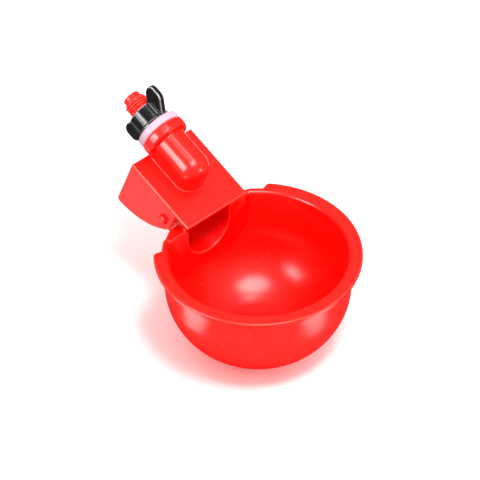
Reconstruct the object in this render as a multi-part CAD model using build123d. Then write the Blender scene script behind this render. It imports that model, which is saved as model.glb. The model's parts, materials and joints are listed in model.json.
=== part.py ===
from build123d import *
from math import cos, radians, sin, sqrt
import os

# Weight-operated drinking cup for poultry. A round bowl hangs by two moulded trunnions in the
# cheeks of a valve housing, whose threaded inlet is clamped in a cage or tank wall by a wing nut.
# An empty bowl is held up by a spring, so that water runs from the nozzle down the trough into
# the bowl. The weight of the water tips the bowl down and presses a rubber pad on the nozzle.
# Millimetres. X is along the hinge, Y points back towards the wall, Z is up, and the origin is
# the centre of the bowl's flat foot. The bowl is level, so the housing leans back on its stop.

# Bowl
bowl_r = 38.5
bowl_depth = 46.2
bowl_wall = 2.0
bowl_draft = 0.3
belly_offset = 6.7
foot_r = 13.75
lip_r = 1.5
flange_w = 4.0
flange_t = 2.0
flange_edge_r = 0.6
flange_end_gap = 1.4
flange_corner_r = 2.5

# Rear face of the bowl, a flat plate in front of a pocket. A shelf closes the pocket at the rim's
# height and ends in front of the housing's cheeks.
plate_setback = 9.2
plate_t = 1.8
plate_half = 22.3
plate_drop = 23.4
plate_corner_r = 12.5
plate_edge_r = 0.5
shelf_gap = 0.3

# Trough behind the plate, from its mouth to its closed rear end
mouth_half = 11.3
mouth_drop = 18.7
trough_wall = 1.7
trough_rear_half = 9.3
trough_rear_drop = 10.5
trough_reach = 14.8
trough_top = 3.3

# Hinge: trunnions of the bowl in the cheeks' holes
pivot_behind = 9.9
pivot_above_rim = 2.2
trunnion_r = 2.1
trunnion_fit = 0.08
trunnion_proud = 1.7
trunnion_dome = 0.9
shoulder_r = 3.4
shoulder_gap = 0.3

# Valve housing
lean = 21.0
roof_w = 32.6
roof_t = 1.8
roof_height = 9.5
roof_front = 12.3
roof_back = 23.85
roof_edge_r = 0.5
cheek_t = 1.8
cheek_front = 4.5
cheek_front_drop = 2.37
cheek_drop = 17.35
cheek_low_s = 24.7
cheek_corner_r = 1.5
stop_gap = 0.2

# Barrel, collar and inlet stem, on one axis parallel to the roof
barrel_r = 7.15
axis_height = 7.35
dome_s = 7.0
collar_r = 9.9
collar_front = 21.5
collar_t = 4.8
collar_edge_r = 0.9
stem_r = 5.0
thread_depth = 0.7
thread_end = 44.3
thread_bevel = 0.4
tip_r = 3.7
tip_length = 2.3
tip_edge_r = 0.7
inlet_r = 2.4

# Nozzle, rubber pad and return spring
nozzle_s = 8.5
nozzle_r = 2.0
nozzle_bore_r = 1.1
nozzle_length = 4.25
nozzle_bevel = 0.5
pad_r = 2.9
pad_t = 2.0
pad_sunk = 0.5
pad_fit = 0.1
pad_gap = 0.15
spring_y = 7.3
spring_r = 4.6
wire_r = 0.35
spring_turns = 3.5
spring_end_gap = 0.1
seat_r = 5.5
platform_t = 1.8
arm_w = 4.0

# Sealing washer and wing nut
washer_r = 9.75
washer_t = 3.5
washer_fit = 0.15
washer_edge_r = 0.6
nut_fit = 0.05
hub_r = 7.4
hub_length = 8.2
hub_foot_r = 7.8
hub_foot_t = 1.2
hub_edge_r = 0.4
wing_t = 2.6
wing_reach = 15.4
wing_rise = 3.6
wing_foot = 9.4
wing_root = 1.0
wing_shoulder_s = 4.8
wing_tip_r = 2.6
wing_edge_r = 0.5
wing_turn = 8.3

flange_r = bowl_r + flange_w
belly_r = bowl_r - bowl_draft - belly_offset
belly_z = sqrt(belly_r**2 - (foot_r - belly_offset) ** 2)
rim_z = bowl_depth
plate_y = bowl_r - plate_setback
pivot_y = plate_y + pivot_behind
pivot_z = rim_z + pivot_above_rim
cheek_inside = roof_w / 2 - cheek_t
cheek_arc_reach = cheek_low_s + cheek_front
cheek_arc_rise = cheek_drop - cheek_front_drop
cheek_arc_r = (cheek_arc_reach**2 + cheek_arc_rise**2) / (2 * cheek_arc_rise)
roof_under = roof_height - roof_t
axis_n = roof_height + axis_height
collar_back = collar_front + collar_t
washer_back = collar_back + washer_t
hub_back = washer_back + hub_length
wing_back = hub_back + wing_rise
thread_mean_r = stem_r - thread_depth / 2

# The housing is drawn square about the hinge axis, X across, Y along the roof and Z out of it,
# and then leaned back about that axis.
housing_place = Pos(0, pivot_y, pivot_z) * Rot(lean, 0, 0)

# A round bar or a block is placed by the middle of its lower or its upper end
upward = (Align.CENTER, Align.CENTER, Align.MIN)
downward = (Align.CENTER, Align.CENTER, Align.MAX)


def along_y(profile, start, length):
    """A profile drawn as (x, height), standing upright and pushed back along Y."""
    return extrude(Plane.XZ.offset(-start) * profile, -length)


def rod(radius, start, end):
    """A round bar along the inlet's axis, in the housing's frame."""
    return Pos(0, start, axis_n) * Rot(-90, 0, 0) * Cylinder(radius, end - start, align=upward)


def bowl_body(inset):
    """The bowl's solid of revolution, its surface moved in by inset."""
    top_r = bowl_r - inset
    arc_r = belly_r - inset
    side = (belly_offset + arc_r, belly_z)
    middle = (belly_offset + arc_r * cos(radians(45)), belly_z - arc_r * sin(radians(45)))
    foot = (belly_offset + sqrt(arc_r**2 - (belly_z - inset) ** 2), inset)
    outline = [
        Line((0, inset), foot),
        ThreePointArc(foot, middle, side),
        Line(side, (top_r, rim_z)),
        Line((top_r, rim_z), (0, rim_z)),
        Line((0, rim_z), (0, inset)),
    ]
    return revolve(Plane.XZ * make_face(Curve() + outline), Axis.Z)


def lip_cutter():
    """The rounding of the rim's inner edge."""
    edge_r = bowl_r - bowl_wall
    corner = Pos(edge_r + lip_r, rim_z - lip_r) * Rectangle(
        2 * lip_r, 2 * lip_r, align=(Align.MAX, Align.MIN))
    corner -= Pos(edge_r + lip_r, rim_z - lip_r) * Circle(lip_r)
    return revolve(Plane.XZ * corner, Axis.Z)


def flange():
    """The drinking rim's flange, open at the back where the housing stands."""
    inner_r = bowl_r - (bowl_wall - lip_r) / 2
    gap = Pos(0, plate_y - flange_end_gap) * Rectangle(
        2 * flange_r, flange_r, align=(Align.CENTER, Align.MIN))
    ring = Circle(flange_r) - Circle(inner_r) - gap
    outer_corners = ring.vertices().sort_by_distance((0, 0, 0))[-2:]
    ring = fillet(outer_corners, flange_corner_r)
    body = Pos(0, 0, rim_z - flange_t) * extrude(ring, flange_t)
    rims = body.edges().filter_by(GeomType.CIRCLE).group_by(SortBy.RADIUS)[-1]
    return fillet(rims, flange_edge_r)


def stop_top():
    """Height of the two posts beside the mouth, which stop the raised bowl against the roof."""
    forward = plate_y - pivot_y
    return pivot_z + (roof_under + forward * sin(radians(lean))) / cos(radians(lean)) - stop_gap


def plate_outline(inset, top):
    """The rear plate seen from the front up to that height, its edge moved in by inset."""
    half = plate_half - inset
    foot = rim_z - plate_drop + inset
    outline = Pos(0, foot) * Rectangle(2 * half, top - foot, align=(Align.CENTER, Align.MIN))
    low = outline.vertices().sort_by(Axis.Y)[:2]
    return fillet(low, plate_corner_r - inset)


def channel(half, drop, top):
    """A U section, drawn as (x, height), with its round bottom at drop below the rim."""
    centre = rim_z - drop + half
    outline = [
        Line((-half, top), (-half, centre)),
        ThreePointArc((-half, centre), (0, rim_z - drop), (half, centre)),
        Line((half, centre), (half, top)),
        Line((half, top), (-half, top)),
    ]
    return make_face(Curve() + outline)


def trough(grow, start, end, top):
    """The trough's solid from its mouth to its rear end, its surface moved out by grow."""
    mouth = channel(mouth_half + grow, mouth_drop + grow, top)
    rear = channel(trough_rear_half + grow, trough_rear_drop + grow, top)
    return loft([Plane.XZ.offset(-start) * mouth, Plane.XZ.offset(-end) * rear], ruled=True)


def make_bowl():
    trough_end = pivot_y + trough_reach
    trough_top_z = pivot_z + trough_top
    behind = trough_end - plate_y
    solid = bowl_body(0)
    shelf_end = pivot_y - cheek_front - shelf_gap
    boss = along_y(plate_outline(0, rim_z), plate_y, behind) & solid
    bowl = solid - bowl_body(bowl_wall) - lip_cutter() + boss + flange()
    plate = along_y(plate_outline(0, rim_z), plate_y, plate_t)
    front_edges = plate.faces().sort_by(Axis.Y)[0].edges()
    bowl += fillet(front_edges, plate_edge_r)
    bowl -= along_y(plate_outline(plate_t, rim_z - plate_t), plate_y + plate_t, behind)
    bowl -= along_y(plate_outline(plate_t, rim_z + plate_t), shelf_end, behind)
    bowl += trough(trough_wall, plate_y + plate_t / 2, trough_end, trough_top_z)
    posts = Pos(0, rim_z - plate_t) * Rectangle(
        2 * (mouth_half + trough_wall), stop_top() - rim_z + plate_t, align=(Align.CENTER, Align.MIN))
    bowl += along_y(posts, plate_y, plate_t)
    bowl -= trough(0, plate_y - plate_t, trough_end - trough_wall, stop_top() + plate_t)

    # Trunnions with a shoulder on each side of the trough
    shoulder_x = cheek_inside - shoulder_gap
    trunnion_x = roof_w / 2 + trunnion_proud
    for side in (-1, 1):
        place = Pos(side * mouth_half, pivot_y, pivot_z) * Rot(0, side * 90, 0)
        bowl += place * Cylinder(shoulder_r, shoulder_x - mouth_half, align=upward)
        pin = Cylinder(trunnion_r, trunnion_x - mouth_half, align=upward)
        bowl += place * fillet(pin.edges().sort_by(Axis.Z)[-1], trunnion_dome)

    # Platform for the spring and the pad, on an arm across the trough
    top = pad_plane() - pad_t + pad_sunk
    middle = Pos(0, pivot_y + spring_y, top - platform_t)
    bowl += middle * Cylinder(seat_r + wire_r, platform_t, align=upward)
    bowl += middle * Box(2 * mouth_half - trough_wall, arm_w, platform_t, align=upward)
    bowl -= Pos(0, pivot_y + nozzle_s, top - pad_sunk) * Cylinder(pad_r + pad_fit, pad_t, align=upward)
    return bowl


def pad_plane():
    """Height of the pad's top at rest: it meets the nozzle when the bowl has tipped fully."""
    return pivot_z + roof_under - nozzle_length - pad_gap


def spring_seat_z():
    """Height of the spring's upper seat, level with the platform of the raised bowl."""
    forward = spring_y - seat_r
    return pivot_z + (roof_under + forward * sin(radians(lean))) / cos(radians(lean))


def make_housing():
    roof = Pos(0, -roof_front, roof_height) * Box(
        roof_w, roof_front + roof_back, roof_t, align=(Align.CENTER, Align.MIN, Align.MAX))

    # Cheeks, with a round lower edge and a hole for the trunnion
    front_n = -cheek_front_drop
    arc_top = cheek_arc_r - cheek_drop
    back_n = arc_top - sqrt(cheek_arc_r**2 - (roof_back - cheek_low_s) ** 2)
    middle_s = (roof_back - cheek_front) / 2
    middle_n = arc_top - sqrt(cheek_arc_r**2 - (cheek_low_s - middle_s) ** 2)
    outline = [
        Line((-cheek_front, roof_under), (-cheek_front, front_n)),
        ThreePointArc((-cheek_front, front_n), (middle_s, middle_n), (roof_back, back_n)),
        Line((roof_back, back_n), (roof_back, roof_under)),
        Line((roof_back, roof_under), (-cheek_front, roof_under)),
    ]
    side_view = make_face(Curve() + outline)
    side_view = fillet(side_view.vertices().sort_by(Axis.Y)[:2], cheek_corner_r)
    side_view -= Circle(trunnion_r + trunnion_fit)
    cheek = extrude(Plane.YZ * side_view, cheek_t)
    housing = roof + Pos(cheek_inside, 0, 0) * cheek + Pos(-cheek_inside - cheek_t, 0, 0) * cheek
    rounded = housing.edges().filter_by(Axis.Y).group_by(Axis.Z)[-1]
    rounded += housing.edges().filter_by(Axis.X).group_by(Axis.Z)[-1].sort_by(Axis.Y)[:1]
    housing = fillet(rounded, roof_edge_r)

    # Barrel: a blind bore in a bullet-shaped casing that grows out of the roof
    foot = Pos(0, dome_s) * Rectangle(2 * barrel_r, collar_front - dome_s, align=(Align.CENTER, Align.MIN))
    foot += Pos(0, dome_s) * Circle(barrel_r)
    housing += Pos(0, 0, roof_under) * extrude(foot, axis_n - roof_under)
    housing += rod(barrel_r, dome_s, collar_back)
    housing += Pos(0, dome_s, axis_n) * Sphere(barrel_r)

    # Collar, inlet stem and its plain lead-in tip. The stem is plain: the mean radius of its
    # thread as far as the wings reach, and the thread's crest radius on the free end past them.
    collar = rod(collar_r, collar_front, collar_back)
    housing += fillet(collar.edges().filter_by(GeomType.CIRCLE), collar_edge_r)
    housing += rod(thread_mean_r, collar_back, wing_back)
    free_end = rod(stem_r, wing_back, thread_end)
    housing += chamfer(free_end.edges().filter_by(GeomType.CIRCLE).sort_by(Axis.Y)[-1], thread_bevel)
    tip = rod(tip_r, thread_end - thread_bevel, thread_end + tip_length)
    housing += fillet(tip.edges().filter_by(GeomType.CIRCLE).sort_by(Axis.Y)[-1], tip_edge_r)

    # Spring seat, square to the spring of the raised bowl and cut off inside the roof
    unlean = Rot(-lean, 0, 0)
    seat = unlean * Pos(0, spring_y, spring_seat_z() - pivot_z) * Cylinder(
        seat_r, 2 * seat_r, align=upward)
    housing += seat & Pos(0, 0, roof_under + roof_t / 2) * Box(
        roof_w, 2 * roof_back, axis_n, align=downward)

    # Nozzle under the barrel, and the water's way to it
    nozzle = Pos(0, nozzle_s, roof_under + roof_t / 2) * Cylinder(
        nozzle_r, nozzle_length + roof_t / 2, align=downward)
    housing += chamfer(nozzle.edges().filter_by(GeomType.CIRCLE).sort_by(Axis.Z)[0], nozzle_bevel)
    housing -= rod(inlet_r, nozzle_s, thread_end + 2 * tip_length)
    housing -= Pos(0, nozzle_s, axis_n) * Cylinder(nozzle_bore_r, 2 * axis_n, align=downward)
    return housing_place * housing


def make_pad():
    return Pos(0, pivot_y + nozzle_s, pad_plane() - pad_t) * Cylinder(pad_r, pad_t, align=upward)


def make_spring():
    foot = pad_plane() - pad_t + pad_sunk + spring_end_gap + wire_r
    head = spring_seat_z() - spring_end_gap - wire_r
    path = Helix((head - foot) / spring_turns, head - foot, spring_r)
    wire = Plane(origin=path @ 0, z_dir=path % 0) * Circle(wire_r)
    return Pos(0, pivot_y + spring_y, foot) * sweep(wire, path=path)


def make_washer():
    washer = rod(washer_r, collar_back, washer_back) - rod(stem_r + washer_fit, collar_back, washer_back)
    rims = washer.edges().filter_by(GeomType.CIRCLE).group_by(SortBy.RADIUS)[-1]
    return housing_place * fillet(rims, washer_edge_r)


def make_wing_nut():
    hub = rod(hub_r, washer_back, hub_back)
    back_rim = hub.edges().filter_by(GeomType.CIRCLE).sort_by(Axis.Y)[-1]
    hub = fillet(back_rim, hub_edge_r)
    hub += rod(hub_foot_r, washer_back, washer_back + hub_foot_t)

    # One wing seen from its side, as (distance along the axis, distance from the axis)
    root = hub_r - wing_root
    top_s = wing_back - washer_back
    outline = Polygon(
        (0, root),
        (0, wing_foot),
        (wing_shoulder_s, wing_reach),
        (top_s, wing_reach),
        (top_s, wing_foot + wing_tip_r / 2),
        (hub_length, root),
        align=None,
    )
    round_ends = outline.vertices().sort_by(Axis.X)[-2:]
    outline = fillet(round_ends, wing_tip_r)
    shoulder = outline.vertices().sort_by_distance((wing_shoulder_s, wing_reach, 0))[:1]
    outline = fillet(shoulder, wing_tip_r)
    wing = extrude(Plane.YZ * outline, wing_t / 2, both=True)
    faces = wing.faces().sort_by(Axis.X)
    wing = fillet(faces[0].edges() + faces[-1].edges(), wing_edge_r)
    nut = hub
    for half_turn in (0, 180):
        nut += Pos(0, washer_back, axis_n) * Rot(0, wing_turn + half_turn, 0) * wing
    nut -= rod(thread_mean_r + nut_fit, washer_back - hub_length, hub_back + hub_length)
    return housing_place * nut


os.makedirs("parts", exist_ok=True)
pieces = {
    "bowl": make_bowl(),
    "valve_housing": make_housing(),
    "valve_pad": make_pad(),
    "return_spring": make_spring(),
    "sealing_washer": make_washer(),
    "wing_nut": make_wing_nut(),
}
for name, piece in pieces.items():
    export_step(piece, f"parts/{name}.step")
    box = piece.bounding_box()
    print(name, len(piece.solids()), round(piece.volume, 1), box.min, box.max)
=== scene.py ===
import json
from math import cos, radians, sin, sqrt, tau

import bpy
import numpy as np
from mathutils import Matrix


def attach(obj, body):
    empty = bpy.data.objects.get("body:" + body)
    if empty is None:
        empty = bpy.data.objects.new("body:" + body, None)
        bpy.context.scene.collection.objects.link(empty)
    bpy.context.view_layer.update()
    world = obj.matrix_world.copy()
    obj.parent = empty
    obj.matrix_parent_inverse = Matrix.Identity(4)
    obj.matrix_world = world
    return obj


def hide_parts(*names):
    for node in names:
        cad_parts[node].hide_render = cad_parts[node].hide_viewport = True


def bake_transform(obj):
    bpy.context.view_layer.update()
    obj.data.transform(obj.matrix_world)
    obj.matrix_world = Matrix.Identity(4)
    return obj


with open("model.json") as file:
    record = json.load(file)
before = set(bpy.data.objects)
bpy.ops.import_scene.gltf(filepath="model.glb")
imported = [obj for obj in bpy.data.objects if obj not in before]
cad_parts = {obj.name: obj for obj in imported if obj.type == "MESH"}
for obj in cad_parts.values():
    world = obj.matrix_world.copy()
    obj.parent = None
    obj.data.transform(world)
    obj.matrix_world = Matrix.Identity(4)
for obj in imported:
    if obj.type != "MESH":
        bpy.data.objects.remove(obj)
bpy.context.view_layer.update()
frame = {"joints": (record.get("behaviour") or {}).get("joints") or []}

import openvdb
from mathutils import Matrix, Vector

scene = bpy.context.scene
joints = {joint["name"]: joint for joint in frame["joints"]}

# Bowl: one injection moulding in glossy red polypropylene. A round bowl with a drinking flange,
# a flat rear plate under a shelf with a pocket behind it, and a trough that brings the water in.
# Its two trunnions turn in the housing's cheeks.

# Millimetres, as are all lengths of the cup here. What is sunk reaches that far into its neighbour.
bowl_r = 38.5
rim_z = 46.2
bowl_wall = 2.0
bowl_draft = 0.3
belly_offset = 6.7
foot_r = 13.75
lip_r = 1.6
flange_r = 42.5
flange_t = 2.0
flange_end = 27.9
flange_end_x = 29.8
flange_end_lean = radians(20)
ledge_r = 39.2
ledge_end = 31.4
flange_corner_r = 1.3
plate_y = 29.3
plate_t = 1.8
plate_half = 22.3
plate_drop = 23.4
plate_corner_r = 12.5
plate_sunk = 0.7
shelf_t = 3
shelf_inset = 0.2
shelf_end = 34.4
post_top = 52.65
mouth_half = 11.3
mouth_drop = 18.7
trough_wall = 1.7
trough_rear_half = 9.3
trough_rear_drop = 10.5
trough_end = 54.0
trough_top = 51.7
trough_sunk = 1
post_sunk = 0.5
pivot_y, pivot_z = (1000 * joints["bowl_tilt"]["pos_m"][i] for i in (1, 2))
trunnion_r = 2.1
trunnion_end = 18.0
shoulder_r = 3.4
shoulder_end = 14.2
platform_y = pivot_y + 7.3
platform_r = 5.85
platform_top = 50.2
platform_t = 1.8
arm_w = 4.0
arm_short = 0.5
pad_y = pivot_y + 8.5
pad_r = 2.9
pad_sunk = 0.5
pad_fit = 0.1
pad_seat_h = 1
gate_ring_r = 2.6
gate_groove_r = 0.35
gate_r = 1.1
gate_z = 0.4
gate_half_t = 0.3


def fuse(a, b, fillet):
    """Joins two forms, given as distances, with a fillet of that radius in the corner."""
    reach = np.hypot(np.maximum(fillet - a, 0), np.maximum(fillet - b, 0))
    return np.maximum(fillet, np.minimum(a, b)) - reach


def trim(a, b, edge_r):
    """What two forms share, with the edge between them rounded to that radius."""
    reach = np.hypot(np.maximum(edge_r + a, 0), np.maximum(edge_r + b, 0))
    return np.minimum(-edge_r, np.maximum(a, b)) + reach


def pot(radius, z, inset):
    """The bowl's turned outline, moved in by inset and open upwards."""
    belly_r = bowl_r - bowl_draft - belly_offset
    belly_z = sqrt(belly_r**2 - (foot_r - belly_offset) ** 2)
    belly = np.hypot(np.maximum(radius - belly_offset, 0), z - belly_z) - belly_r
    side = radius - bowl_r + bowl_draft * (rim_z - z) / (rim_z - belly_z)
    return trim(np.where(z < belly_z, belly, side) + inset, inset - z, 0.8)


def channel(across, y, z, grow, start, end):
    """The trough's round-bottomed section, which tapers and rises from its mouth to its rear end."""
    share = (y - start) / (end - start)
    half = mouth_half + grow + share * (trough_rear_half - mouth_half)
    drop = mouth_drop + grow + share * (trough_rear_drop - mouth_drop)
    low = np.hypot(across, z - rim_z + drop - half) - half
    return np.where(z < rim_z - drop + half, low, across - half)


def bowl_form(x, y, z):
    """Distance from the bowl's surface, negative inside the plastic. Fillets and rounded edges
    have the mould's radii, given in place."""
    across = np.abs(x)
    radius = np.hypot(x, y)

    # Turned bowl with its flange, which ends in two rounded corners and a narrow ledge
    beyond = (y - flange_end) * cos(flange_end_lean) - (across - flange_end_x) * sin(flange_end_lean)
    plan = trim(radius - flange_r, beyond, flange_corner_r)
    plan = fuse(plan, trim(radius - ledge_r, y - ledge_end, 0.4), 0.15)
    brim = trim(plan, rim_z - flange_t - z, 0.6)
    body = trim(fuse(pot(radius, z, 0), brim, 0.7), z - rim_z, 0.6)
    form = trim(body, -pot(radius, z, bowl_wall), lip_r)

    # Rear plate and the block behind it, hollowed by the pocket and closed above by the shelf
    outline = trim(across - plate_half, rim_z - plate_drop - z, plate_corner_r)
    block = trim(outline, plate_y - y, 0.6)
    slab = np.maximum(trim(block, y - plate_y - plate_t, 0.4), z - rim_z + plate_sunk)
    form = fuse(form, np.minimum(slab, np.maximum(block, body + plate_sunk)), 0.6)
    top = np.maximum(trim(plate_y - y, z - rim_z, 1.3), body)
    shelf = np.maximum(across - plate_half + shelf_inset, rim_z - shelf_t - z)
    form = np.minimum(form, np.maximum(top, shelf))
    pocket = np.maximum(outline + plate_t, z - rim_z + plate_t)
    pocket = trim(pocket, plate_y + plate_t - y, 0.3)
    form = trim(form, -np.minimum(pocket, np.maximum(outline + plate_t, shelf_end - y)), 0.35)

    # Trough, open above
    outer = channel(across, y, z, trough_wall, plate_y + plate_t / 2, trough_end)
    outer = trim(trim(outer, y - trough_end, 1.2), z - trough_top, 0.4)
    form = fuse(form, np.maximum(outer, plate_y + trough_sunk - y), 0.7)
    post = trim(across - mouth_half - trough_wall, np.abs(y - plate_y - plate_t / 2) - plate_t / 2, 0.4)
    form = fuse(form, np.maximum(trim(post, z - post_top, 0.4), rim_z - post_sunk - z), 0.3)
    hollow_end = trough_end - trough_wall
    hollow = channel(across, y, z, 0, plate_y - plate_t, hollow_end)
    hollow = np.maximum(trim(hollow, y - hollow_end, 0.8), plate_y - plate_t - y)
    form = trim(form, -hollow, 0.45)

    # Trunnions with their shoulders
    around = np.hypot(y - pivot_y, z - pivot_z)
    shoulder = trim(around - shoulder_r, across - shoulder_end, 0.3)
    pin = trim(around - trunnion_r, across - trunnion_end, 0.9)
    stub = fuse(shoulder, pin, 0.25)
    form = fuse(form, np.maximum(stub, mouth_half - across), 0.4)

    # Platform for the spring and the pad
    disc = np.hypot(x, y - platform_y) - platform_r
    arm = np.maximum(across - mouth_half + arm_short, np.abs(y - platform_y) - arm_w / 2)
    height = np.abs(z - platform_top + platform_t / 2) - platform_t / 2
    form = fuse(form, trim(fuse(disc, arm, 0.8), height, 0.25), 0.4)
    seat = np.maximum(np.hypot(x, y - pad_y) - pad_r - pad_fit, platform_top - pad_sunk - z)
    form = trim(form, -np.maximum(seat, z - platform_top - pad_seat_h), 0.1)

    # Stub of the moulding gate, in a dished ring under the foot
    ring = np.hypot(radius - gate_ring_r, z) - gate_groove_r
    gate = trim(radius - gate_r, np.abs(z - gate_z) - gate_half_t, 0.15)
    return fuse(trim(form, -ring, 0.1), gate, 0.1)


def slope(form, points):
    """The direction in which the distance grows, at each point."""
    reach = 0.01
    sides = [form(*(points + step).T) - form(*(points - step).T) for step in reach * np.eye(3)]
    return np.stack(sides, axis=1) / (2 * reach)


def settle(form, points, limit):
    """Moves points that are nearly on the surface right onto it, by no more than the limit a step."""
    steps = 4
    least_slope = 0.5
    for _ in range(steps):
        rise = slope(form, points)
        shift = rise * (form(*points.T) / np.maximum((rise**2).sum(axis=1), least_slope**2))[:, None]
        length = np.linalg.norm(shift, axis=1, keepdims=True)
        points = points - shift * np.minimum(1, limit / np.maximum(length, 1e-9))
    return points


def mould(name, form, low, high, cell, faces, place=Matrix.Identity(4)):
    """A closed mesh of a form, from cells of that size in the box, thinned to about so many faces."""
    axes = [np.arange(a, b + cell, cell) for a, b in zip(low, high)]
    field = np.empty([len(axis) for axis in axes], np.float32)
    layers = 8
    for i in range(0, len(axes[0]), layers):
        part = slice(i, i + layers)
        field[part] = form(*np.meshgrid(axes[0][part], axes[1], axes[2], indexing="ij"))
    grid = openvdb.FloatGrid()
    grid.copyFromArray(field)
    points, _, quads = grid.convertToPolygons(0.0, 0.0)
    rough = bpy.data.meshes.new(name)
    rough.from_pydata(settle(form, points * cell + low, cell), [], quads.tolist())
    piece = bpy.data.objects.new(name, rough)
    scene.collection.objects.link(piece)
    thin = piece.modifiers.new("thin", "DECIMATE")
    thin.ratio = min(1.0, faces / (2 * len(quads)))
    mesh = bpy.data.meshes.new_from_object(piece.evaluated_get(bpy.context.evaluated_depsgraph_get()))
    piece.modifiers.clear()
    piece.data = mesh
    mesh.name = name
    bpy.data.meshes.remove(rough)

    # Points and normals come from the form itself, and so do three marks from 0 to 1: edges that
    # bend outwards, dips that a small probe finds, and hollows that a long one finds
    points = np.empty(3 * len(mesh.vertices), np.float32)
    mesh.vertices.foreach_get("co", points)
    points = settle(form, points.reshape(-1, 3).astype(float), cell)
    normals = slope(form, points)
    normals /= np.maximum(np.linalg.norm(normals, axis=1, keepdims=True), 1e-9)
    reach = 0.2
    bend = sum(form(*(points + step).T) + form(*(points - step).T) for step in reach * np.eye(3)) / reach**2
    least_bend = 0.9
    edge_gain = 0.6
    edge = edge_gain * (bend - least_bend)
    dip_probe = 1.2
    hollow_probe = 45
    dip, hollow = (
        1 - form(*(points + probe * normals).T) / probe for probe in (dip_probe, hollow_probe))
    # The plastic uses these marks to paint shade into the dips and hollows and a highlight onto the edges
    for label, amount in (("edge", edge), ("dip", dip), ("hollow", hollow)):
        layer = mesh.attributes.new(label, "FLOAT", "POINT")
        layer.data.foreach_set("value", np.clip(amount, 0, 1).astype(np.float32))
    turn = np.array(place.to_3x3())
    world = points @ turn.T + np.array(place.translation)
    mesh.vertices.foreach_set("co", (world / 1000).astype(np.float32).ravel())
    mesh.shade_smooth()
    mesh.normals_split_custom_set_from_vertices((normals @ turn.T).astype(np.float32))
    mesh.update()
    return piece


class Value:
    """One output of a node, which Python's operators join to numbers and to other outputs."""

    def __init__(self, nodes, output):
        self.nodes = nodes
        self.output = output

    def __getitem__(self, name):
        return Value(self.nodes, self.output.node.outputs[name])

    def math(self, operation, first, second):
        return self.nodes.add("ShaderNodeMath", {"operation": operation}, {0: first, 1: second})

    def __add__(self, other):
        return self.math("ADD", self, other)

    def __sub__(self, other):
        return self.math("SUBTRACT", self, other)

    def __rsub__(self, other):
        return self.math("SUBTRACT", other, self)

    def __mul__(self, other):
        return self.math("MULTIPLY", self, other)

    __radd__ = __add__


class Nodes:
    """A node tree in the making."""

    def __init__(self, tree):
        self.tree = tree

    def blend(self, share, first, second):
        """The colour between two others. Each is a plain colour or an output."""
        colours = [(*given, 1) if isinstance(given, tuple) else given for given in (first, second)]
        mix = self.tree.nodes.new("ShaderNodeMix")
        mix.data_type = "RGBA"
        factor_and_colours = (0, 6, 7)
        for index, given in zip(factor_and_colours, (share, *colours)):
            if isinstance(given, Value):
                self.tree.links.new(given.output, mix.inputs[index])
            else:
                mix.inputs[index].default_value = given
        return Value(self, mix.outputs[2])

    def add(self, kind, settings, sockets):
        """Adds a node, makes its settings, then sets or links its sockets. Returns its first output."""
        node = self.tree.nodes.new(kind)
        for name, setting in settings.items():
            setattr(node, name, setting)
        for name, given in sockets.items():
            if isinstance(given, Value):
                self.tree.links.new(given.output, node.inputs[name])
            else:
                node.inputs[name].default_value = given
        first = next((output for output in node.outputs if output.enabled), None)
        return Value(self, first) if first else node


def empty_nodes(owner):
    """The node tree of a new material or world, emptied."""
    owner.use_nodes = True
    owner.node_tree.nodes.clear()
    return Nodes(owner.node_tree)


def plastic(name, deep, pale, edge_highlight_tint, edge_highlight_share, roughness, grain):
    """Moulded plastic: flow marks in its colour, painted shade that deepens it in hollows and dips,
    a painted highlight that makes thin edges that face up paler, and a fine orange-peel skin."""
    material = bpy.data.materials.new(name)
    nodes = empty_nodes(material)
    place = nodes.add("ShaderNodeTexCoord", {}, {})["Object"]
    flow = nodes.add("ShaderNodeTexNoise", {}, {
        "Vector": place, "Scale": 38.0, "Detail": 3.0, "Roughness": 0.45, "Distortion": 0.8})
    skin = nodes.add("ShaderNodeTexNoise", {}, {"Vector": place, "Scale": 900.0, "Detail": 2.0})
    rub = nodes.add("ShaderNodeTexNoise", {}, {"Vector": place, "Scale": 260.0, "Detail": 4.0})
    edge = nodes.add("ShaderNodeAttribute", {"attribute_name": "edge"}, {})["Fac"]
    dip = nodes.add("ShaderNodeAttribute", {"attribute_name": "dip"}, {})["Fac"]
    hollow = nodes.add("ShaderNodeAttribute", {"attribute_name": "hollow"}, {})["Fac"]
    # Painted shade: the colour goes over to the deep one in the hollows, and part of the way in the dips
    outside_painted_shade = nodes.add("ShaderNodeMapRange", {}, {
        "Value": hollow, "From Min": 0.15, "From Max": 0.6, "To Min": 1.0, "To Max": 0.0})
    base = nodes.blend(outside_painted_shade * (0.8 + flow * 0.4) * (1 - dip * 0.5), deep, pale)
    # Painted highlight: thin edges that bend outwards and face up are tinted pale
    upward = nodes.add("ShaderNodeSeparateXYZ", {}, {
        "Vector": nodes.add("ShaderNodeNewGeometry", {}, {})["Normal"]})["Z"]
    upward_highlight = nodes.add("ShaderNodeMapRange", {}, {
        "Value": upward, "From Min": 0.1, "From Max": 0.6, "To Min": 0.25})
    colour = nodes.blend(edge * upward_highlight * edge_highlight_share, base, edge_highlight_tint)
    bump = nodes.add("ShaderNodeBump", {}, {
        "Strength": grain, "Distance": 0.0001, "Height": skin})
    shader = nodes.add("ShaderNodeBsdfPrincipled", {}, {
        "Base Color": colour, "Roughness": roughness + (rub - 0.5) * 0.12 + dip * 0.05, "Normal": bump})
    nodes.add("ShaderNodeOutputMaterial", {}, {"Surface": shader})
    return material


def finish_piece(piece, material, slot, body, *replaced):
    """Gives a piece its material, puts it under the body that it rides on, and hides any parts that it
    replaces.
    """
    piece.data.materials.clear()
    piece.data.materials.append(material)
    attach(piece, body)
    if replaced:
        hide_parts(*replaced)


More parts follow.
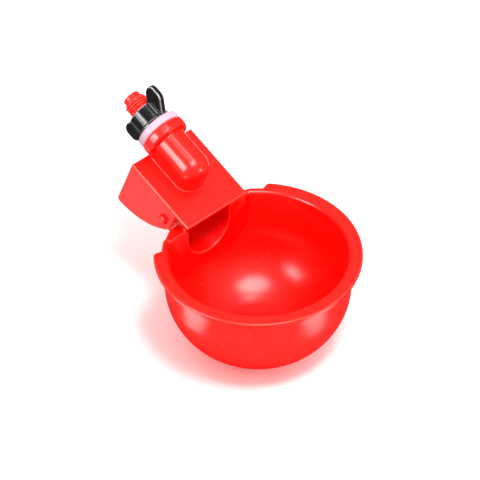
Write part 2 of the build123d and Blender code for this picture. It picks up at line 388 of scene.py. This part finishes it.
# The deep colour is painted shade for hollows and dips, and the edge tint is a painted highlight on thin
# edges that face up
red = plastic("red_polypropylene", deep=(0.74, 0.0008, 0.0004), pale=(0.94, 0.005, 0.0012),
              edge_highlight_tint=(1.0, 0.16, 0.10), edge_highlight_share=0.38, roughness=0.25, grain=0.08)
bowl = mould("bowl_moulding", bowl_form, low=(-44, -44, -1), high=(44, 55.5, 54), cell=0.42,
             faces=170000)
finish_piece(bowl, red, "red_plastic", "cup", "bowl")

# Valve housing: one moulding in the same red plastic. A roof and two cheeks hold the trunnions,
# and the water comes through the collar and the bullet-shaped barrel to a nozzle under the roof.
# It is drawn about the hinge, s along the roof and n out of it, and then leaned back.
axis_pos = 1000 * Vector(joints["wing_nut_turn"]["pos_m"])
axis_dir = Vector(joints["wing_nut_turn"]["axis"]).normalized()
outward = Vector((0, -axis_dir.z, axis_dir.y))
hinge = Vector((0, pivot_y, pivot_z))
lean_axes = Matrix((Vector((1, 0, 0)), axis_dir, outward)).transposed()
lean_place = Matrix.Translation(hinge) @ lean_axes.to_4x4()
axis_n = (axis_pos - hinge).dot(outward)
roof_half = 16.3
roof_n = 9.5
roof_t = 1.8
roof_front = 12.3
roof_back = 23.85
roof_sunk = 0.6
under_sunk = 0.7
cheek_t = 1.8
cheek_front = 4.5
cheek_drop = 17.35
cheek_arc_r = 35.95
cheek_arc_s = 24.7
hole_r = 2.18
barrel_r = 7.15
barrel_sunk = 1
dome_s = 7.0
collar_r = 9.9
collar_front = 21.5
collar_back = 26.3
stem_r = 5.0
inlet_r = 2.4
nozzle_s = 8.5
nozzle_r = 2.0
nozzle_end = 3.45
nozzle_bore_r = 1.1
seat_r = 5.5
seat_y = 7.3


def housing_form(x, s, n):
    """Distance from the housing's surface, negative inside the plastic."""
    across = np.abs(x)
    under = roof_n - roof_t
    roof = trim(across - roof_half, np.maximum(-roof_front - s, s - roof_back), 0.3)
    roof = trim(roof, np.abs(n - roof_n + roof_t / 2) - roof_t / 2, 0.5)

    # Cheeks, with a round lower edge and the trunnion's hole
    arc_n = cheek_arc_r - cheek_drop
    arc = np.hypot(s - cheek_arc_s, n - arc_n) - cheek_arc_r
    side = trim(trim(arc, -cheek_front - s, 1.5), s - roof_back, 1.5)
    side = np.maximum(side, n - roof_n + roof_sunk)
    cheek = trim(side, np.abs(across - roof_half + cheek_t / 2) - cheek_t / 2, 0.35)
    inner_side = (across < roof_half - cheek_t / 2) & (n < roof_n - roof_t / 2)
    form = np.where(inner_side, fuse(roof, cheek, 0.6), np.minimum(roof, cheek))
    form = trim(form, hole_r - np.hypot(s, n), 0.2)

    # Barrel and collar
    before = np.maximum(dome_s - s, 0)
    barrel = np.sqrt(x**2 + before**2 + np.maximum(n - axis_n, 0) ** 2) - barrel_r
    barrel = np.maximum(np.maximum(barrel, s - collar_front - barrel_sunk), under + roof_sunk - n)
    form = fuse(form, barrel, 0.3)
    around = np.hypot(x, n - axis_n)
    middle_s = (collar_front + collar_back) / 2
    half_t = (collar_back - collar_front) / 2
    collar = trim(around - collar_r, np.abs(s - middle_s) - half_t, np.where(s < middle_s, 1.5, 0.9))
    form = fuse(form, collar, 0.5)

    # Nozzle and the spring's seat, which is level while the roof leans back
    nozzle = trim(np.hypot(x, s - nozzle_s) - nozzle_r, nozzle_end - n, 0.4)
    form = fuse(form, np.maximum(nozzle, n - roof_n + under_sunk), 0.4)
    y = s * axis_dir.y - n * axis_dir.z
    z = s * axis_dir.z + n * axis_dir.y
    seat_z = (under + (seat_y - seat_r) * axis_dir.z) / axis_dir.y
    seat = trim(np.hypot(x, y - seat_y) - seat_r, seat_z - z, 0.3)
    form = fuse(form, np.maximum(seat, n - roof_n + under_sunk), 0.3)

    # The water's way through the collar and the barrel to the nozzle
    bore = np.maximum(around - inlet_r, nozzle_s - s)
    outlet = np.maximum(np.hypot(x, s - nozzle_s) - nozzle_bore_r, n - axis_n)
    return trim(form, -np.minimum(bore, outlet), 0.15)


housing = mould("housing_moulding", housing_form, low=(-17.5, -13.5, -18.6), high=(17.5, 27.5, 28),
                cell=0.28, faces=150000, place=lean_place)
finish_piece(housing, red, "red_plastic", "housing", "valve_housing")

# Inlet stem: the housing's threaded spigot, a moulded 10 mm thread with rounded crests, cut off
# short of a plain lead-in tip. The water's bore runs through it.
thread_pitch = 1.25
thread_depth = 0.55
thread_end = 44.3
thread_fade = 0.6
thread_stop = 0.3
crest_power = 0.8
flank_scale = 0.7
stem_sunk = 1.5
tip_r = 3.7
tip_end = 46.6


def stem_form(x, s, n):
    """Distance from the stem's surface, negative inside the plastic. The flank scale makes up for
    the slope of the thread's flanks, where the height over the core is more than the distance."""
    around = np.hypot(x, n - axis_n)
    turn = np.arctan2(n - axis_n, x) / tau
    wave = 0.5 + 0.5 * np.cos(tau * (s / thread_pitch - turn))
    depth = thread_depth * np.clip((thread_end - thread_stop - s) / thread_fade, 0, 1)
    ridged = (around - stem_r + thread_depth - depth * wave**crest_power) * flank_scale
    core = trim(ridged, s - thread_end, 0.45)
    tip = trim(around - tip_r, s - tip_end, 0.6)
    form = np.maximum(fuse(core, tip, 0.3), collar_back - stem_sunk - s)
    return trim(form, inlet_r - around, 0.3)


stem = mould("inlet_thread", stem_form, low=(-5.6, 24, axis_n - 5.6), high=(5.6, 47.4, axis_n + 5.6),
             cell=0.14, faces=90000, place=lean_place)
finish_piece(stem, red, "red_plastic", "housing")

# Sealing washer: soft pale silicone rubber, squeezed between the collar and the wing nut, so
# that its rim swells a little.
washer_r = 9.75
washer_back = 29.8
washer_swell = 0.22
washer_fit = 0.15


def washer_form(x, s, n):
    """Distance from the washer's surface, negative inside the rubber."""
    around = np.hypot(x, n - axis_n)
    half = (washer_back - collar_back) / 2
    off = (s - collar_back - half) / half
    rim = around - washer_r + washer_swell * off**2
    disc = trim(rim, np.abs(s - collar_back - half) - half, 0.75)
    return trim(disc, stem_r + washer_fit - around, 0.3)


def rubber(name, deep, pale, roughness, subsurface):
    """Rubber: cloudy colour, and a satin skin with fine pits that is duller in patches."""
    material = bpy.data.materials.new(name)
    nodes = empty_nodes(material)
    place = nodes.add("ShaderNodeTexCoord", {}, {})["Object"]
    cloud = nodes.add("ShaderNodeTexNoise", {}, {"Vector": place, "Scale": 120.0, "Detail": 3.0})
    pits = nodes.add("ShaderNodeTexNoise", {}, {"Vector": place, "Scale": 1600.0, "Detail": 3.0})
    colour = nodes.blend(cloud, deep, pale)
    bump = nodes.add("ShaderNodeBump", {}, {"Strength": 0.25, "Distance": 0.0001, "Height": pits})
    shader = nodes.add("ShaderNodeBsdfPrincipled", {}, {
        "Base Color": colour, "Roughness": roughness + (cloud - 0.5) * 0.2, "Normal": bump,
        "Subsurface Weight": subsurface, "Subsurface Radius": (0.003, 0.0022, 0.0025),
        "Subsurface Scale": 0.4})
    nodes.add("ShaderNodeOutputMaterial", {}, {"Surface": shader})
    return material


silicone = rubber("pale_silicone", deep=(0.45, 0.31, 0.38), pale=(0.54, 0.38, 0.46), roughness=0.5,
                  subsurface=0.2)
washer = mould("washer_ring", washer_form, low=(-10.4, 25.6, axis_n - 10.4),
               high=(10.4, 30.5, axis_n + 10.4), cell=0.22, faces=40000, place=lean_place)
finish_piece(washer, silicone, "washer_rubber", "housing", "sealing_washer")

# Wing nut: glossy black moulded nylon. A round hub with a slightly wider foot, and two flat wings
# that rise past its back face, turned a little off the upright.
hub_r = 7.4
hub_foot_r = 7.8
hub_foot_t = 1.2
hub_back = 38.0
wing_half_t = 1.3
wing_reach = 15.4
wing_foot = 9.4
wing_root = 6.4
wing_shoulder = 4.8
wing_back = 41.6
wing_tip_r = 2.8
wing_corner_r = 1.2
wing_turn = radians(8.3)
nut_fit = 0.02


def wing_nut_form(x, s, n):
    """Distance from the wing nut's surface, negative inside the nylon."""
    up = n - axis_n
    around = np.hypot(x, up)
    hub = trim(around - hub_r, np.maximum(s - hub_back, washer_back - s), 0.45)
    foot = trim(around - hub_foot_r, np.abs(s - washer_back - hub_foot_t / 2) - hub_foot_t / 2, 0.3)
    form = fuse(hub, foot, 0.5)

    # Both wings at once, as (distance from the axis, distance past the washer)
    thick = np.abs(x * cos(wing_turn) - up * sin(wing_turn))
    out = np.abs(x * sin(wing_turn) + up * cos(wing_turn))
    past = s - washer_back
    rise = wing_reach - wing_foot
    length = sqrt(rise**2 + wing_shoulder**2)
    shoulder = ((out - wing_foot) * wing_shoulder - past * rise) / length
    back = wing_back - washer_back
    hub_length = hub_back - washer_back
    heel_run = back - hub_length
    heel_rise = wing_foot + wing_tip_r / 2 - wing_root
    heel_length = sqrt(heel_run**2 + heel_rise**2)
    heel = ((past - hub_length) * heel_rise - (out - wing_root) * heel_run) / heel_length
    plan = trim(trim(out - wing_reach, past - back, wing_tip_r), shoulder, wing_corner_r)
    plan = trim(trim(plan, heel, 1.0), -past, 0.4)
    plan = np.maximum(plan, wing_root - out)
    wing = trim(plan, thick - wing_half_t, 0.5)
    form = fuse(form, wing, 0.7)
    return trim(form, stem_r + nut_fit - around, 0.3)


# As on the red plastic, the deep colour is painted shade in hollows and dips, and the pale edge tint is a
# painted highlight on the wings' edges
nylon = plastic("black_nylon", deep=(0.002, 0.002, 0.002), pale=(0.008, 0.008, 0.009),
                edge_highlight_tint=(0.50, 0.50, 0.51), edge_highlight_share=0.8, roughness=0.18, grain=0.08)
wing_nut = mould("wing_nut_moulding", wing_nut_form, low=(-10, 29, axis_n - 16.2),
                 high=(10, 42.6, axis_n + 16.2), cell=0.2, faces=90000, place=lean_place)
finish_piece(wing_nut, nylon, "black_plastic", "nut", "wing_nut")

# Valve pad: a black moulded rubber disc, pressed into its seat in the platform. The full bowl
# lifts it against the nozzle, which has left a ring in its top.
pad_top = 51.7
pad_foot = platform_top - pad_sunk
dimple_r = 1.5
dimple_above = 0.15
dimple_round_r = 0.3


def pad_form(x, y, z):
    """Distance from the pad's surface, negative inside the rubber."""
    around = np.hypot(x, y - pad_y)
    disc = trim(around - pad_r, np.maximum(z - pad_top, pad_foot - z), 0.3)
    ring = np.hypot(around - dimple_r, z - pad_top - dimple_above) - dimple_round_r
    return trim(disc, -ring, 0.1)


black_rubber = rubber("black_rubber", deep=(0.012, 0.012, 0.013), pale=(0.03, 0.03, 0.032),
                      roughness=0.6, subsurface=0.0)
pad = mould("pad_disc", pad_form, low=(-3.3, pad_y - 3.3, 49.4), high=(3.3, pad_y + 3.3, 52.2),
            cell=0.12, faces=8000)
finish_piece(pad, black_rubber, "pad_rubber", "cup", "valve_pad")

# Return spring: bright stainless wire wound on a mandrel, with a closed turn at each end. It stands
# on the bowl's platform and pushes up against the seat under the roof.
spring_r = 4.6
wire_r = 0.35
spring_turns = 4.5
spring_gap = 0.1
spring_top = 57.24
spring_foot = platform_top + spring_gap + wire_r
spring_head = spring_top - wire_r


def spring_tree():
    """Geometry nodes that bend a line of points into a coil and thicken it into wire."""
    tree = bpy.data.node_groups.new("coil", "GeometryNodeTree")
    for name, kind in (("Radius", "NodeSocketFloat"), ("Wire Radius", "NodeSocketFloat"),
                       ("Turns", "NodeSocketFloat"), ("Foot", "NodeSocketFloat"),
                       ("Head", "NodeSocketFloat"), ("Centre Y", "NodeSocketFloat"),
                       ("Material", "NodeSocketMaterial")):
        tree.interface.new_socket(name, in_out="INPUT", socket_type=kind)
    tree.interface.new_socket("Geometry", in_out="OUTPUT", socket_type="NodeSocketGeometry")
    nodes = Nodes(tree)
    given = nodes.add("NodeGroupInput", {}, {})
    line = nodes.add("GeometryNodeCurvePrimitiveLine", {}, {"End": (0, 0, 1)})
    line = nodes.add("GeometryNodeResampleCurve", {}, {"Curve": line, "Count": 320})
    share = nodes.add("GeometryNodeSplineParameter", {}, {})["Factor"]
    angle = share * given["Turns"] * tau

    # The wire climbs slowly in the end turns and faster between them
    end_share = 0.12
    slow_share = 0.28
    middle = nodes.add("ShaderNodeMapRange", {"interpolation_type": "SMOOTHSTEP"}, {
        "Value": share, "From Min": end_share, "From Max": 1 - end_share})
    lift = middle * (1 - slow_share) + share * slow_share
    height = given["Foot"] + lift * (given["Head"] - given["Foot"])
    sine = nodes.add("ShaderNodeMath", {"operation": "SINE"}, {0: angle})
    cosine = nodes.add("ShaderNodeMath", {"operation": "COSINE"}, {0: angle})
    point = nodes.add("ShaderNodeCombineXYZ", {}, {
        "X": cosine * given["Radius"], "Y": sine * given["Radius"] + given["Centre Y"], "Z": height})
    coil = nodes.add("GeometryNodeSetPosition", {}, {"Geometry": line, "Position": point})
    section = nodes.add("GeometryNodeCurvePrimitiveCircle", {}, {
        "Resolution": 14, "Radius": given["Wire Radius"]})
    wire = nodes.add("GeometryNodeCurveToMesh", {}, {
        "Curve": coil, "Profile Curve": section, "Fill Caps": True})
    wire = nodes.add("GeometryNodeSetShadeSmooth", {}, {"Geometry": wire})
    wire = nodes.add("GeometryNodeRealizeInstances", {}, {"Geometry": wire})
    wire = nodes.add("GeometryNodeSetMaterial", {}, {"Geometry": wire, "Material": given["Material"]})
    nodes.add("NodeGroupOutput", {}, {"Geometry": wire})
    return tree


def drawn_wire():
    """Bright drawn steel wire with fine draw marks."""
    material = bpy.data.materials.new("drawn_steel_wire")
    nodes = empty_nodes(material)
    place = nodes.add("ShaderNodeTexCoord", {}, {})["Object"]
    marks = nodes.add("ShaderNodeTexNoise", {}, {"Vector": place, "Scale": 1400.0, "Detail": 4.0})
    colour = nodes.blend(marks, (0.42, 0.43, 0.45), (0.66, 0.67, 0.70))
    bump = nodes.add("ShaderNodeBump", {}, {"Strength": 0.15, "Distance": 0.00005, "Height": marks})
    shader = nodes.add("ShaderNodeBsdfPrincipled", {}, {
        "Base Color": colour, "Metallic": 1.0, "Roughness": 0.22 + marks * 0.15, "Normal": bump})
    nodes.add("ShaderNodeOutputMaterial", {}, {"Surface": shader})
    return material


steel = drawn_wire()
coil_tree = spring_tree()
spring = bpy.data.objects.new("spring_coil", bpy.data.meshes.new("spring_coil"))
scene.collection.objects.link(spring)
winding = spring.modifiers.new("winding", "NODES")
winding.node_group = coil_tree
coil_sizes = {"Radius": spring_r / 1000, "Wire Radius": wire_r / 1000, "Turns": spring_turns,
              "Foot": spring_foot / 1000, "Head": spring_head / 1000, "Centre Y": platform_y / 1000,
              "Material": steel}
for item in coil_tree.interface.items_tree:
    if item.in_out == "INPUT":
        winding[item.identifier] = coil_sizes[item.name]
coil_mesh = bpy.data.meshes.new_from_object(spring.evaluated_get(bpy.context.evaluated_depsgraph_get()))
spring.modifiers.clear()
spring.data = coil_mesh
platform_y / 1000
platform_y / 1000
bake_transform(spring)
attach(spring, "cup")
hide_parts("return_spring")

# Studio, in metres: a white floor and surround, dim in the gloss so that the plastic keeps its deep
# colour, and a key light for colour and shadow. The other lamps show only in the gloss: a softbox
# above, strips around the cup, and discs on the floor for the bands of light on the bowl's wall.
floor_half = 3
floor_z = -0.0002
floor_corners = [(x * floor_half, y * floor_half, 0) for x, y in ((-1, -1), (1, -1), (1, 1), (-1, 1))]
floor_mesh = bpy.data.meshes.new("floor")
floor_mesh.from_pydata(floor_corners, [], [(0, 1, 2, 3)])
floor = bpy.data.objects.new("floor", floor_mesh)
scene.collection.objects.link(floor)
floor.location.z = floor_z
white = bpy.data.materials.new("white_floor")
nodes = empty_nodes(white)
gloss = nodes.add("ShaderNodeLightPath", {}, {})["Is Glossy Ray"]

# The floor's slight pink shows in the shadow alone, because the lit floor is past white
floor_tone = nodes.blend(gloss, (0.97, 0.80, 0.79), (0.04, 0.04, 0.04))
matt = nodes.add("ShaderNodeBsdfDiffuse", {}, {"Color": floor_tone})
nodes.add("ShaderNodeOutputMaterial", {}, {"Surface": matt})
floor_mesh.materials.append(white)

world = bpy.data.worlds.new("studio")
scene.world = world
world.cycles.sampling_method = "NONE"
nodes = empty_nodes(world)
gloss = nodes.add("ShaderNodeLightPath", {}, {})["Is Glossy Ray"]
direction = nodes.add("ShaderNodeTexCoord", {}, {})["Generated"]
toward = nodes.add("ShaderNodeSeparateXYZ", {}, {"Vector": direction})

# The surround is brighter from the picture's right than from its left
side = toward["X"] * 0.30 - toward["Y"] * 0.28
sky = nodes.add("ShaderNodeBackground", {}, {
    "Color": (1, 1, 1, 1), "Strength": (side + 1.35) * (1 - gloss * 0.95)})
nodes.add("ShaderNodeOutputWorld", {}, {"Surface": sky})


def lamp(name, place, target, width, height, power, gloss_only=True):
    """An area light at a place that shines towards a target, in the cup's gloss or in its colour."""
    data = bpy.data.lights.new(name, "AREA")
    data.shape = "ELLIPSE"
    data.size = width
    data.size_y = height
    data.energy = power
    light = bpy.data.objects.new(name, data)
    scene.collection.objects.link(light)
    light.location = place
    light.rotation_euler = (Vector(place) - Vector(target)).to_track_quat("Z", "Y").to_euler()
    light.visible_camera = False
    light.visible_glossy = gloss_only
    light.visible_diffuse = not gloss_only


cup_middle = (0.0, 0.01, 0.04)
lamp("key", (-0.06, -0.22, 0.70), cup_middle, width=0.20, height=0.20, power=4.8, gloss_only=False)
lamp("softbox", (-0.12, -0.23, 0.69), cup_middle, width=0.44, height=0.32, power=4.2)
lamp("top_strip", (0.07, -0.05, 0.73), cup_middle, width=0.05, height=0.16, power=0.40)
lamp("left_strip", (-0.61, 0.10, 0.36), cup_middle, width=0.30, height=0.22, power=2.8)
lamp("low_left_strip", (-0.68, 0.15, 0.16), cup_middle, width=0.20, height=0.18, power=1.6)
lamp("front_strip", (0.21, -0.66, 0.10), cup_middle, width=0.18, height=0.08, power=1.0)

# The discs lie just over the floor and shine straight up
disc_z = 0.0003
for name, x, y, width, power in (
        ("left_band", -0.081, 0.025, 0.046, 0.022),
        ("right_band", 0.019, -0.086, 0.046, 0.022),
        ("cheek_glow", -0.058, 0.096, 0.090, 0.012),
        ("rim_glow", 0.095, 0.110, 0.090, 0.030)):
    lamp(name, (x, y, disc_z), (x, y, 1), width, width, power)

# Camera: a long lens at the photograph's viewing angle. The picture's middle lies a little to the
# left of the rim's centre and above it.
view_azimuth = radians(42.82)
view_elevation = radians(42.74)
view_distance = 2.0247
view_left = 0.007381
view_above = 0.005079
back = Vector((-sin(view_azimuth) * cos(view_elevation), -cos(view_azimuth) * cos(view_elevation),
               sin(view_elevation)))
right = Vector((cos(view_azimuth), -sin(view_azimuth), 0))
above = back.cross(right)
camera_data = bpy.data.cameras.new("camera")
camera_data.lens = 375
camera_data.sensor_width = 36
camera_data.clip_end = 20
camera = bpy.data.objects.new("camera", camera_data)
scene.collection.objects.link(camera)
rim_centre = Vector((0, 0, rim_z / 1000))
camera.location = rim_centre + view_distance * back - view_left * right + view_above * above
camera.rotation_euler = back.to_track_quat("Z", "Y").to_euler()
scene.camera = camera
scene.view_settings.view_transform = "Standard"
scene.cycles.caustics_reflective = False
